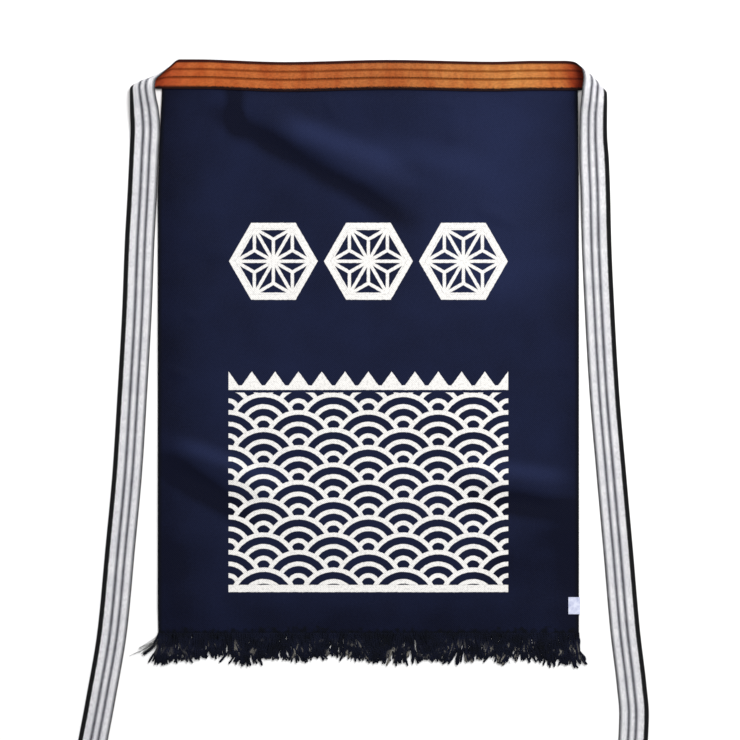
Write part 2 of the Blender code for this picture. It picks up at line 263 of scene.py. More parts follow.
# Layers of yarn: the mat lies below and is shorter, the locks lie on it and gather to points.
# low and high are the levels of their middles at the hem.
YARN_LAYERS = {
    # name: (count, rings, least share, greatest share, gather, wander, stray, low, high)
    "fringe_mat": (420, 16, 0.66, 0.97, 0.16, 0.0026, 0.34, 0.0012, 0.0015),
    "fringe_yarns": (340, 24, 0.84, 1.04, 0.50, 0.0020, 0.24, 0.0014, 0.0026),
}
HAIR_COUNT = 100
HAIR_RADIUS = 0.00022
HAIR_RINGS = 10
HAIR_LEVEL = 0.0012
HAIR_ARCH = 0.0018
HAIR_SEED = 19
# How far the hairs of the left corner stray outwards
CORNER_STRAY = 0.019
# The two rows of stitches, as shares across the tape. They follow the tape to STITCH_STOP inside
# the canvas's sides and end STITCH_INSET before that.
STITCH_ROWS = (0.60, 0.945)
STITCH_STOP = 0.012
STITCH_INSET = 0.004
STITCH_PITCH = 0.0036
STITCH_LENGTH = 0.0026
STITCH_RADIUS = 0.00035
# A stitch's middle stands STITCH_RISE of its radius over the tape, and STITCH_TIP is how near its
# tips the first and last ring are
STITCH_RISE, STITCH_TIP = 0.2, 0.97
STITCH_RINGS = 7
STITCH_SIDES = 6
# The label's turn down the edge, its steps each way, how far it stays above the floor and what
# share of its wall it shows
LABEL_STEPS = 12
LABEL_CLEAR = 0.0002
LABEL_WALL = 0.96

# The print, on the flat cloth: a row of hemp-leaf crests over a field of waves
PRINT_HALF = 0.156
INK_EDGE = 0.0005
CREST_UP = 0.105
CREST_PITCH = 0.106
CREST_COUNT = 3
LEAF_SIDE = 0.0424
LEAF_LINE = 0.0036
CREST_FRAME = 0.0062
WAVE_RADIUS = 0.0390
WAVE_LINE = 0.0050
WAVE_RINGS = 3
WAVES_LOW = -0.2560
WAVES_HIGH = -0.0415
TOOTH_WIDTH = 0.0260
TOOTH_HEIGHT = 0.0180
RULES = [
    # up, thickness
    (-0.0360, 0.0050),
    (-0.2600, 0.0080),
]

# Stripes of the tape, from the inner selvedge to the outer one
FACE_STRIPES = [
    # ends at, colour
    (0.112, "#40160A"),
    (0.293, "#E0A060"),
    (0.367, "#9E6325"),
    (0.573, "#E0A060"),
    (0.647, "#9E6325"),
    (0.902, "#E0A060"),
    (1.000, "#2A1410"),
]
# The dark grey and grey at the inner selvedge are partly the selvedge's own dark thread and partly
# painted shade along that edge
BACK_STRIPES = [
    (0.044, "#424244"),
    (0.098, "#A2A2A6"),
    (0.254, "#E9E8EB"),
    (0.296, "#B2B2B8"),
    (0.352, "#4C4C52"),
    (0.394, "#AEAEB4"),
    (0.500, "#E9E8EB"),
    (0.542, "#B2B2B8"),
    (0.598, "#4C4C52"),
    (0.640, "#AEAEB4"),
    (0.838, "#E9E8EB"),
    (1.000, "#0B0B0D"),
]
STRIPE_EDGE = 0.012
# Painted light along the waist: the band is palest near its right end, which is painted sheen, and
# darker red at both ends, which is painted shade where the tape rolls away
BAND_SHEEN_AND_SHADE = [
    # across, tint
    (0.000, "#C87971"),
    (0.100, "#DBA68A"),
    (0.500, "#CEA997"),
    (0.850, "#E9DAC5"),
    (0.955, "#E2C2AC"),
    (0.982, "#B8705A"),
    (1.000, "#843A2C"),
]


def linear(code):
    """Linear colour of an sRGB hex value."""
    shares = [int(code[place : place + 2], 16) / 255 for place in (1, 3, 5)]
    return [s / 12.92 if s <= 0.04045 else ((s + 0.055) / 1.055) ** 2.4 for s in shares] + [1.0]


def node(tree, kind, *values, sockets=None, out=0, stops=(), **settings):
    """Adds a shader node. values fill its inputs in order, sockets by name, stops its ramp."""
    made = tree.nodes.new("ShaderNode" + kind)
    for name, value in settings.items():
        setattr(made, name, value)
    for key, value in [*enumerate(values), *(sockets or {}).items()]:
        if isinstance(value, bpy.types.NodeSocket):
            tree.links.new(value, made.inputs[key])
        elif value is not None:
            made.inputs[key].default_value = value
    for place, (position, colour) in enumerate(stops):
        ramp = made.color_ramp.elements
        stop = ramp[place] if place < 2 else ramp.new(position)
        stop.position, stop.color = position, colour
    return made.outputs[out]


def new_material(name):
    """An empty material, and node() bound to its tree."""
    material = bpy.data.materials.new(name)
    material.use_nodes = True
    material.node_tree.nodes.clear()
    return material, functools.partial(node, material.node_tree)


def finish_material(material, colour, roughness, gloss, height=None, relief=0.0003):
    """Closes the tree with a Principled surface, bumped by height times relief.

    gloss is the specular level: loose threads throw back less than the 0.5 of a smooth solid.
    """
    tree = material.node_tree
    sockets = {"Base Color": colour, "Roughness": roughness, "Specular IOR Level": gloss}
    if height is not None:
        sockets["Normal"] = node(
            tree, "Bump", sockets={"Strength": 1.0, "Distance": relief, "Height": height}
        )
    shader = node(tree, "BsdfPrincipled", sockets=sockets)
    end = tree.nodes.new("ShaderNodeOutputMaterial")
    tree.links.new(shader, end.inputs["Surface"])
    return material


def mesh_object(name, points, faces, uv, materials, indices=None, smooth_all=False):
    """A mesh from arrays of points, faces, a UV pair per point and a material per face."""
    mesh = bpy.data.meshes.new(name)
    mesh.from_pydata(points.tolist(), [], [list(face) for face in faces])
    mesh.update()
    layer = mesh.uv_layers.new(name="cloth")
    corners = np.zeros(len(mesh.loops), np.int32)
    mesh.loops.foreach_get("vertex_index", corners)
    layer.data.foreach_set("uv", uv[corners].astype(np.float32).ravel())
    for material in materials:
        mesh.materials.append(material)
    if indices is not None:
        mesh.polygons.foreach_set("material_index", np.asarray(indices, np.int32))
    mesh.shade_smooth()
    if not smooth_all:
        mesh.set_sharp_from_angle(angle=SHARP_ANGLE)
    piece = bpy.data.objects.new(name, mesh)
    bpy.context.scene.collection.objects.link(piece)
    return piece


def slab_object(name, upper, lower, uv, materials, smooth_all=False):
    """The closed solid between two grids of the same shape, rows by columns.

    Upper faces take the first material, lower faces and the rim the second. The walk along the
    rows and then the columns turns anticlockwise seen from the upper side.
    """
    rows, columns = upper.shape[:2]
    count = rows * columns
    index = np.arange(count).reshape(rows, columns)
    corners = [index[:-1, :-1], index[1:, :-1], index[1:, 1:], index[:-1, 1:]]
    cells = np.stack(corners, axis=-1).reshape(-1, 4)
    rim = np.concatenate([index[:, 0], index[-1, 1:], index[-2::-1, -1], index[0, -2:0:-1]])
    after = np.roll(rim, -1)
    side = np.stack([after, rim, count + rim, count + after], axis=-1)
    faces = np.concatenate([cells, count + cells[:, ::-1], side])
    kinds = np.concatenate([np.zeros(len(cells)), np.ones(len(cells) + len(side))])
    points = np.concatenate([upper.reshape(-1, 3), lower.reshape(-1, 3)])
    pairs = np.tile(uv.reshape(-1, 2), (2, 1))
    return mesh_object(name, points, faces, pairs, materials, kinds, smooth_all)


def tubes_object(name, centres, radii, materials):
    """Closed tubes, one per row of centres, with a radius for each ring and side.

    Each ring stands square to its path: its first arm is X less its part along the path, its
    second the cross product of the two. The UV is the share of the way round, and the metres
    along the tube plus the tube's number.
    """
    count, rings, sides = radii.shape
    along = np.gradient(centres, axis=1)
    along /= np.linalg.norm(along, axis=-1, keepdims=True)
    arm = np.array([1.0, 0.0, 0.0]) - along * along[..., :1]
    flat = np.linalg.norm(arm, axis=-1, keepdims=True)
    arm = np.where(flat > 0.2, arm / np.maximum(flat, 1e-6), np.array([0.0, 1.0, 0.0]))
    second = np.cross(along, arm)
    turn = np.arange(sides) * 2 * math.pi / sides
    points = (
        centres[:, :, None]
        + radii[..., None] * np.cos(turn)[:, None] * arm[:, :, None]
        + radii[..., None] * np.sin(turn)[:, None] * second[:, :, None]
    )
    index = np.arange(count * rings * sides).reshape(count, rings, sides)
    following = np.roll(index, -1, axis=2)
    corners = [index[:, :-1], following[:, :-1], following[:, 1:], index[:, 1:]]
    walls = np.stack(corners, axis=-1).reshape(-1, 4)
    starts = index[:, 0, ::-1].reshape(-1, sides)
    ends = index[:, -1].reshape(-1, sides)
    faces = [*walls.tolist(), *starts.tolist(), *ends.tolist()]
    steps = np.linalg.norm(np.diff(centres, axis=1, prepend=centres[:, :1]), axis=-1)
    run = np.cumsum(steps, axis=1)[:, :, None] + np.arange(count)[:, None, None]
    uv = np.stack(np.broadcast_arrays(turn / (2 * math.pi), run), axis=-1).reshape(-1, 2)
    return mesh_object(name, points.reshape(-1, 3), faces, uv, materials, smooth_all=True)


def ridges(x, y, table):
    """Sum of cosine-squared ridges: one per row, faded at both ends of its crest line."""
    height = np.zeros_like(x)
    for start, end, crest, reach in table:
        x0, y0 = start[0] * HALF_WIDTH, start[1] * HALF_HEIGHT
        x1, y1 = end[0] * HALF_WIDTH, end[1] * HALF_HEIGHT
        length = math.hypot(x1 - x0, y1 - y0)
        along = ((x - x0) * (x1 - x0) + (y - y0) * (y1 - y0)) / length**2
        across = ((y - y0) * (x1 - x0) - (x - x0) * (y1 - y0)) / length
        rise = np.clip(np.minimum(along, 1 - along) / CREASE_FADE, 0, 1)
        rise = rise * rise * (3 - 2 * rise)
        height += crest * rise * np.cos(np.clip(across / reach, -1, 1) * math.pi / 2) ** 2
    return height


def canvas_height(x, y):
    """Creases, wrinkles and slow waves, which are sines across and up the cloth."""
    waves = sum(
        height * (1 + np.sin(2 * math.pi * (across * x + up * y) + turn))
        for across, up, turn, height in SWELLS
    )
    held = np.clip((WAIST_LOW - y) / BAND_FADE, 0, 1)
    side = np.clip((HALF_WIDTH - np.abs(x)) / SIDE_FADE, SIDE_PART, 1)
    hem = np.clip((y + HALF_HEIGHT) / HEM_FADE, HEM_PART, 1)
    return (ridges(x, y, CREASES) + (ridges(x, y, WRINKLES) + waves) * (side * hem)) * held


def draw_in(x, y):
    """The x of a canvas point once the sides are drawn in, each by its share of the way out."""
    places, left, right = np.transpose(CANVAS_SIDES)
    up = y / HALF_HEIGHT
    share = x / HALF_WIDTH
    left_in = np.interp(up, places, left) * CANVAS_WIDTH
    right_in = np.interp(up, places, right) * CANVAS_WIDTH
    return x + left_in * np.clip(-share, 0, 1) - right_in * np.clip(share, 0, 1)


def build_canvas(printed, plain):
    """The panel: canvas_height over a flat grid, its UV the flat place in metres.

    Its point attribute is DYE_BASE with the painted highlights and painted shade of the marks on it.
    """
    flat_x, flat_y = np.meshgrid(
        np.linspace(-HALF_WIDTH, HALF_WIDTH, round(CANVAS_WIDTH / CANVAS_CELL) + 1),
        np.linspace(-HALF_HEIGHT, HALF_HEIGHT, round(CANVAS_HEIGHT / CANVAS_CELL) + 1),
        indexing="ij",
    )
    x = draw_in(flat_x, flat_y)
    height = canvas_height(x, flat_y)
    lower = np.stack([x, flat_y, height], axis=-1)
    upper = np.stack([x, flat_y, height + CANVAS_THICK], axis=-1)
    uv = np.stack([flat_x, flat_y], axis=-1)
    piece = slab_object("canvas_cloth", upper, lower, uv, [printed, plain])
    # Base tone plus painted highlights and painted shade along the creases, the band, the sides and
    # the hem
    dye_and_painted_light = DYE_BASE + ridges(flat_x, flat_y, PAINTED_LIGHT_MARKS)
    layer = piece.data.attributes.new(name="dye_and_painted_light", type="FLOAT", domain="POINT")
    layer.data.foreach_set("value", np.tile(dye_and_painted_light.ravel(), 2).astype(np.float32))
    return piece


def smooth_rows(rows, count):
    """Cubic curve through rows of numbers, count points to a gap.

    The parameter is the distance between rows, and each slope is the harmonic mean of the two
    rises beside it, or zero where they turn back.
    """
    rows = np.array(rows, float)
    gaps = np.linalg.norm(np.diff(rows[:, :6], axis=0), axis=1)
    rises = np.diff(rows, axis=0) / gaps[:, None]
    before, after = rises[:-1], rises[1:]
    same_way = before * after > 0
    total = np.where(same_way, before + after, 1.0)
    between = np.where(same_way, 2 * before * after / total, 0.0)
    slopes = np.concatenate([rises[:1], between, rises[-1:]])
    s = np.linspace(0, 1, count, endpoint=False)[:, None]
    gap = gaps[:, None, None]
    smooth = (
        (1 + 2 * s) * (1 - s) ** 2 * rows[:-1, None]
        + s * (1 - s) ** 2 * gap * slopes[:-1, None]
        + s**2 * (3 - 2 * s) * rows[1:, None]
        + s**2 * (s - 1) * gap * slopes[1:, None]
    )
    return np.concatenate([smooth.reshape(-1, rows.shape[1]), rows[-1:]])


def side_rows(side, corner, tie, spread):
    """Lines across the tape from the waist to a tie's end: inner point, outer point and bow."""
    rows = []
    for in_out, in_down, in_lift, out_out, out_down, out_lift, bow in corner:
        rows.append((
            side * (HALF_WIDTH + in_out * TAPE_WIDTH), WAIST_TOP - in_down * TAPE_WIDTH,
            WAIST_LEVEL + in_lift * TAPE_WIDTH,
            side * (HALF_WIDTH + out_out * TAPE_WIDTH), WAIST_TOP - out_down * TAPE_WIDTH,
            WAIST_LEVEL + out_lift * TAPE_WIDTH,
            bow * TAPE_WIDTH,
        ))
    sink = WAIST_LEVEL - FLOOR_LEVEL
    for down, out, in_rest, out_rest in tie:
        inner = HALF_WIDTH + out * spread
        y = WAIST_TOP - down * TIE_DROP
        rows.append((
            side * inner, y, WAIST_LEVEL - in_rest * sink,
            side * (inner + TAPE_WIDTH), y, WAIST_LEVEL - out_rest * sink,
            0.0,
        ))
    return rows


def tape_rows():
    """The whole tape in rows TAPE_CELL apart, and how far along the tape each of them lies."""
    left = side_rows(-1, LEFT_CORNER, LEFT_TIE, LEFT_TIE_SPREAD)
    right = side_rows(1, RIGHT_CORNER, RIGHT_TIE, RIGHT_TIE_SPREAD)
    waist = []
    for across, dip in WAIST_SWAY:
        top = WAIST_TOP - dip * TAPE_WIDTH
        x = across * HALF_WIDTH
        waist.append((x, top, WAIST_LEVEL, x, top - TAPE_WIDTH, WAIST_LEVEL, 0.0))
    rows = smooth_rows(left[::-1] + waist + right, ROW_STEPS)
    middle = (rows[:, 0:3] + rows[:, 3:6]) / 2
    place = np.concatenate([[0.0], np.cumsum(np.linalg.norm(np.diff(middle, axis=0), axis=1))])
    even = np.linspace(0, place[-1], round(place[-1] / TAPE_CELL) + 1)
    return np.stack([np.interp(even, place, column) for column in rows.T], axis=-1), even


def surface_normals(grid):
    """Unit normals of a grid, on the side that faces up along the waist."""
    normal = np.cross(np.gradient(grid, axis=1), np.gradient(grid, axis=0))
    return normal / np.linalg.norm(normal, axis=-1, keepdims=True)


def build_tape(face, back):
    """A ruled surface between the two edges, swollen by the bow and given its wall.

    The bow is a parabola across the tape. The wall is thinned towards the selvedges as a quarter
    circle would be.
    """
    rows, place = tape_rows()
    inner, outer, bow = rows[:, None, 0:3], rows[:, None, 3:6], rows[:, None, 6:7]
    share = np.array(TAPE_SHARES, float)[None, :, None]
    flat = inner + (outer - inner) * share
    middle = flat - surface_normals(flat) * bow * 4 * share * (1 - share)
    rim = np.clip(np.minimum(share, 1 - share) * TAPE_WIDTH / SELVEDGE_ROUND, 0, 1)
    full = SELVEDGE_LEAST + (1 - SELVEDGE_LEAST) * np.sqrt(1 - (1 - rim) ** 2)
    wall = surface_normals(middle) * TAPE_THICK / 2 * full
    uv = np.stack(np.broadcast_arrays(share[..., 0], place[:, None]), axis=-1)
    piece = slab_object("woven_tape", middle - wall, middle + wall, uv, [back, face], smooth_all=True)
    return piece, middle + wall


def build_stitches(surface, thread):
    """Two rows of short capsules sunk almost half into the band, each round as an ellipse is.

    They run along X, so they are made with X and Y exchanged and changed back, which also turns
    their faces over.
    """
    centres = []
    for share in STITCH_ROWS:
        column = int(np.argmin(np.abs(np.array(TAPE_SHARES) - share)))
        line = surface[:, column]
        near = np.abs(line[:, 0]) < HALF_WIDTH - STITCH_STOP
        line = line[near & (line[:, 1] > HALF_HEIGHT - TAPE_WIDTH)]
        starts = np.arange(line[0, 0] + STITCH_INSET, line[-1, 0] - STITCH_INSET, STITCH_PITCH)
        x = starts[:, None] + np.linspace(-0.5, 0.5, STITCH_RINGS) * STITCH_LENGTH
        y = np.interp(x, line[:, 0], line[:, 1])
        z = np.interp(x, line[:, 0], line[:, 2]) + STITCH_RADIUS * STITCH_RISE
        centres.append(np.stack([x, y, z], axis=-1))
    centres = np.concatenate(centres)
    profile = np.sqrt(1 - np.linspace(-STITCH_TIP, STITCH_TIP, STITCH_RINGS) ** 2)
    shape = (len(centres), STITCH_RINGS, STITCH_SIDES)
    radii = np.broadcast_to(profile[None, :, None] * STITCH_RADIUS, shape).copy()
    piece = tubes_object("band_stitches", centres[..., [1, 0, 2]], radii, [thread])
    points = np.zeros(len(piece.data.vertices) * 3)
    piece.data.vertices.foreach_get("co", points)
    points = points.reshape(-1, 3)[:, [1, 0, 2]]
    piece.data.vertices.foreach_set("co", points.ravel())
    piece.data.flip_normals()
    return piece


def lock_sines(lock, terms):
    """Sum of sines over the locks' numbers, so that neighbouring locks differ."""
    return sum(height * np.sin(step * lock) for height, step in terms)


def fringe_paths(base, share, rng, rings, gather, spread, stray):
    """Centre lines that hang from the hem at the places base, shares of the half width.

    Each falls share of its lock's length, leans with its lock and a little of its own, draws
    towards the lock's middle, wanders by a slow sine and keeps a kink from the weave. The locks
    at the two ends have the lean of FRINGE_SHAPE alone.
    """
    t = np.linspace(0, 1, rings)
    places, lengths, leans = np.transpose(FRINGE_SHAPE)
    lock = np.clip(np.floor((base + 1) / 2 * LOCK_COUNT), 0, LOCK_COUNT - 1)
    centre = (lock + 0.5) / LOCK_COUNT * 2 - 1
    length = FRINGE_LENGTH * np.interp(centre, places, lengths)
    length = length * (1 + lock_sines(lock, LOCK_LENGTHS)) * share
    sway = np.interp(base, places, leans) + lock_sines(lock, LOCK_LEANS) * (1 - base**6)
    wander = rng.normal(0, 1, (4, len(base)))
    drawn = (centre - base) * HALF_WIDTH * gather
    x = (
        base[:, None] * HALF_WIDTH
        + ((sway + stray * wander[2]) * length + drawn)[:, None] * t**1.2
        + spread * wander[0][:, None] * np.sin(t * 2.6 + wander[1][:, None]) * t
        + YARN_KINK * t * np.sin(t * (9 + 3 * wander[3][:, None]) + 3 * wander[1][:, None])
        + LOCK_CURL * np.sin(t * 3.4 + 2.3 * lock[:, None]) * t
    )
    y = -HALF_HEIGHT + HEM_TUCK - (length[:, None] + HEM_TUCK) * t
    return x, y, t


def build_yarns(name, layer, yarn):
    """Twisted yarns: each ring is a circle with two lobes, turned along the path.

    A yarn sinks towards the floor as the square of the way along it, and its tip is tapered.
    """
    count, rings, least, greatest, gather, spread, stray, low, high = layer
    rng = np.random.default_rng(count)
    base = (np.arange(count) + 0.5) / count * 2 - 1
    base = np.clip(base + rng.normal(0, HEM_UNEVEN, count), -HEM_LIMIT, HEM_LIMIT)
    share = rng.uniform(least, greatest, count)
    x, y, t = fringe_paths(base, share, rng, rings, gather, spread, stray)
    level = low + (high - low) * ((np.arange(count) * LEVEL_STEP) % 1)
    z = YARN_RADIUS + (level - YARN_RADIUS)[:, None] * (1 - YARN_SINK * t**2)
    z = z + YARN_RIPPLE * np.sin(t * 9 + rng.uniform(0, 6, count)[:, None])
    centres = np.stack([x, y, np.clip(z, YARN_RADIUS * (1 + YARN_LOBE), None)], axis=-1)
    turn = np.arange(YARN_SIDES) * 2 * math.pi / YARN_SIDES
    run = (-y - HALF_HEIGHT)[:, :, None] / YARN_TWIST * 2 * math.pi
    lobes = 1 + YARN_LOBE * np.cos(2 * (turn - run) + rng.uniform(0, 6, count)[:, None, None])
    taper = 1 - TIP_TAPER * np.clip((t - TIP_FROM) / (1 - TIP_FROM), 0, 1)
    return tubes_object(name, centres, YARN_RADIUS * lobes * taper[:, None], [yarn])


def build_fluff(hair):
    """Loose hairs on paths like the yarns', each arched by a sine.

    A third of them start at the left corner, are shorter than the others and stray outwards.
    """
    rng = np.random.default_rng(HAIR_SEED)
    corner = HAIR_COUNT // 3
    rest = HAIR_COUNT - corner
    base = np.concatenate([rng.uniform(-0.99, 0.99, rest), rng.uniform(-1.0, -0.96, corner)])
    share = np.concatenate([rng.uniform(0.75, 1.06, rest), rng.uniform(0.40, 0.74, corner)])
    x, y, t = fringe_paths(base, share, rng, HAIR_RINGS, gather=0.3, spread=0.0040, stray=0.22)
    x[-corner:] -= rng.uniform(0.3, 1.0, corner)[:, None] * CORNER_STRAY * t**1.5
    z = HAIR_LEVEL + rng.uniform(0, HAIR_ARCH, HAIR_COUNT)[:, None] * np.sin(t * 2.4)
    centres = np.stack([x, y, z], axis=-1)
    radii = np.full((HAIR_COUNT, HAIR_RINGS, 3), HAIR_RADIUS)
    return tubes_object("fringe_fluff", centres, radii, [hair])


def build_label(cloth):
    """A strip carried over the face and down the canvas's right edge along an L-shaped path."""
    low = -HALF_HEIGHT + LABEL_ABOVE_HEM
    half = LABEL_THICK / 2
    face = CANVAS_THICK + PIECE_GAP + half
    corner = HALF_WIDTH + PIECE_GAP - half
    bend = np.linspace(0, math.pi / 2, 8)
    top = np.linspace(HALF_WIDTH - LABEL_COVER, corner, LABEL_STEPS)[:-1]
    path_x = np.concatenate([top, corner + LABEL_THICK * np.sin(bend)])
    path_z = np.concatenate([np.full(len(top), face), face - LABEL_THICK * (1 - np.cos(bend))])
    path_x = np.append(path_x, path_x[-1])
    path_z = np.append(path_z, LABEL_CLEAR)
    run = np.concatenate([[0.0], np.cumsum(np.hypot(np.diff(path_x), np.diff(path_z)))])
    normal = np.stack([-np.gradient(path_z), np.gradient(path_x)], axis=-1)
    normal /= np.linalg.norm(normal, axis=-1, keepdims=True)
    y = low + np.linspace(0, LABEL_LENGTH, LABEL_STEPS)
    middle = np.stack(np.broadcast_arrays(path_x[:, None], y, path_z[:, None]), axis=-1)
    wall = np.stack([normal[:, 0], np.zeros(len(normal)), normal[:, 1]], axis=-1)[:, None]
    wall = wall * half * LABEL_WALL
    uv = np.stack(np.broadcast_arrays(run[:, None], y), axis=-1)
    return slab_object("bare_label", middle + wall, middle - wall, uv, [cloth, cloth])


def under(add, value, limit):
    """1 where value is under limit and 0 over it, with an edge INK_EDGE wide."""
    return add("MapRange", value, limit - INK_EDGE / 2, limit + INK_EDGE / 2, 1.0, 0.0)


def folded(add, value, pitch):
    """Distance of value from the nearest whole step of pitch."""
    wrapped = add("Math", value, pitch / 2, -pitch / 2, operation="WRAP")
    return add("Math", wrapped, operation="ABSOLUTE")


def crest_ink(add, x, y):
    """Hexagon crests in a row, each framing one star of a hemp-leaf lattice of equal triangles.

    Along three directions a third of a turn apart the lattice has edge lines one triangle's
    height apart and, square to them, leaf lines half a side apart, kept from each corner to the
    middle of its triangle.
    """
    high = LEAF_SIDE * math.sqrt(3) / 2
    local_x = add("Math", x, CREST_PITCH / 2, -CREST_PITCH / 2, operation="WRAP")
    local_y = add("Math", y, -CREST_UP)
    lines, reach = None, None
    for turn in (90, 210, 330):
        out_x, out_y = math.cos(math.radians(turn)), math.sin(math.radians(turn))
        q, p = (
            add(
                "Math",
                add("Math", local_x, part_x, operation="MULTIPLY"),
                add("Math", local_y, part_y, operation="MULTIPLY"),
            )
            for part_x, part_y in ((out_x, out_y), (out_y, -out_x))
        )
        number = add("Math", add("Math", p, LEAF_SIDE / 2, operation="DIVIDE"), operation="ROUND")
        shifted = add("Math", number, -high, q, operation="MULTIPLY_ADD")
        past = add("Math", folded(add, shifted, 2 * high), -high * 2 / 3)
        leaf = add("Math", folded(add, p, LEAF_SIDE / 2), past, operation="MAXIMUM")
        here = add("Math", folded(add, q, high), leaf, operation="MINIMUM")
        away = add("Math", q, operation="ABSOLUTE")
        lines = here if lines is None else add("Math", lines, here, operation="MINIMUM")
        reach = away if reach is None else add("Math", reach, away, operation="MAXIMUM")
    star = under(add, lines, LEAF_LINE / 2)
    star = add("Math", star, under(add, reach, high), operation="MULTIPLY")
    rim = add("Math", add("Math", reach, -high - CREST_FRAME / 2), operation="ABSOLUTE")
    crest = add("Math", star, under(add, rim, CREST_FRAME / 2), operation="MAXIMUM")
    row = under(add, add("Math", x, operation="ABSOLUTE"), CREST_PITCH * CREST_COUNT / 2)
    return add("Math", crest, row, operation="MULTIPLY")


def wave_ink(add, x, y):
    """Rows of discs half a radius apart, each row in front of the one above it.

    A place takes its distance from the middle of the lowest disc that holds it, and rings at even
    steps of that distance are inked.
    """
    step = WAVE_RADIUS / 2
    rise = add("Math", y, -WAVES_LOW)
    lowest = add("Math", add("Math", rise, -WAVE_RADIUS), step, operation="DIVIDE")
    lowest = add("Math", lowest, operation="CEIL")
    nearest = None
    for above in (2, 1, 0):
        number = add("Math", lowest, float(above))
        odd = add("Math", number, 2.0, operation="FLOORED_MODULO")
        shift = add("Math", odd, WAVE_RADIUS, operation="MULTIPLY")
        dx = add("Math", x, shift, operation="SUBTRACT")
        dx = add("Math", dx, WAVE_RADIUS, -WAVE_RADIUS, operation="WRAP")
        dy = add("Math", number, -step, rise, operation="MULTIPLY_ADD")
        squares = [add("Math", part, part, operation="MULTIPLY") for part in (dx, dy)]
        away = add("Math", add("Math", *squares), operation="SQRT")
        if nearest is None:
            nearest = away
        else:
            holds = add("Math", away, WAVE_RADIUS, operation="LESS_THAN")
            change = add("Math", away, nearest, operation="SUBTRACT")
            nearest = add("Math", holds, change, nearest, operation="MULTIPLY_ADD")
    ring = add("Math", nearest, WAVE_LINE / 2 - WAVE_RADIUS)
    ring = under(add, folded(add, ring, WAVE_RADIUS / WAVE_RINGS), WAVE_LINE / 2)
    middle, half = (WAVES_LOW + WAVES_HIGH) / 2, (WAVES_HIGH - WAVES_LOW) / 2
    field = under(add, add("Math", add("Math", y, -middle), operation="ABSOLUTE"), half)
    return add("Math", ring, field, operation="MULTIPLY")


def border_ink(add, x, y):
    """Rules across the cloth and a row of teeth standing on the upper one."""
    up = add("Math", y, -RULES[0][0])
    slope = TOOTH_HEIGHT / (TOOTH_WIDTH / 2)
    roof = add("Math", folded(add, x, TOOTH_WIDTH), slope, up, operation="MULTIPLY_ADD")
    above = under(add, add("Math", up, -1.0, operation="MULTIPLY"), 0.0)
    ink = add("Math", under(add, roof, TOOTH_HEIGHT), above, operation="MULTIPLY")
    for place, width in RULES:
        line = add("Math", add("Math", y, -place), operation="ABSOLUTE")
        ink = add("Math", ink, under(add, line, width / 2), operation="MAXIMUM")
    return ink


def weave_height(add, x, y, pitch):
    """Plain weave: threads both ways, each going over and under the other at every step.

    It is the product of a sine along each way, each of which turns over once a pitch.
    """
    turns = [add("Math", way, math.pi / pitch, operation="MULTIPLY") for way in (x, y)]
    waves = [add("Math", turn, operation="SINE") for turn in turns]
    return add("Math", *waves, operation="MULTIPLY")


# Heavy cotton canvas, piece-dyed near-black navy and lightly sized. That gives the eye a fine grain
# of threads, colour lighter and darker in random patches, almost black selvedges, a dark and ragged
# hem, and hardly any gloss. Painted highlights, painted sheen and painted shade come on top of that.
CANVAS_THREAD = 0.0011
CANVAS_DARK, CANVAS_LIGHT = "#080B1D", "#222A4B"
SELVEDGE_DYE, HEM_DYE = "#05060A", "#05070D"
CANVAS_NOISES = {
    # name: (patches to the metre, detail)
    "grain": (420.0, 3.0),  # slubs about 2.4 mm long
    "blotch": (16.0, 4.0),  # worn dye in patches of about 62 mm
    "crooked": (260.0, 1.0),  # threads out of line over about 3.8 mm
    "ragged": (130.0, 3.0),  # steps of the dark hem, about 7.7 mm wide
}
# How far threads and ink stray with the crooked noise, and the dark hem with the ragged one
THREAD_STRAY, INK_STRAY, HEM_STRAY = 0.0012, 0.0006, 0.022
# Where the dark of the edges is at its full, where it ends and how dark it is
SELVEDGE_FULL, SELVEDGE_END, SELVEDGE_DARK = 0.0014, 0.0055, 0.80
HEM_FULL, HEM_END, HEM_DARK = 0.0010, 0.0060, 0.85
# How far each pattern moves the dye, and the cloth's least and greatest roughness
GRAIN_DYE, BLOTCH_DYE, WEAVE_DYE = 0.14, 0.36, 0.03
CANVAS_ROUGH, CANVAS_GLOSS, CANVAS_RELIEF = (0.50, 0.62), 0.05, 0.00018
# Screen-printed pigment: an opaque off-white that lies in the weave and misses some of its pits
INK_COLOUR = "#E4E2DF"
INK_COVER, INK_ROUGHER = (0.80, 1.0), 0.15


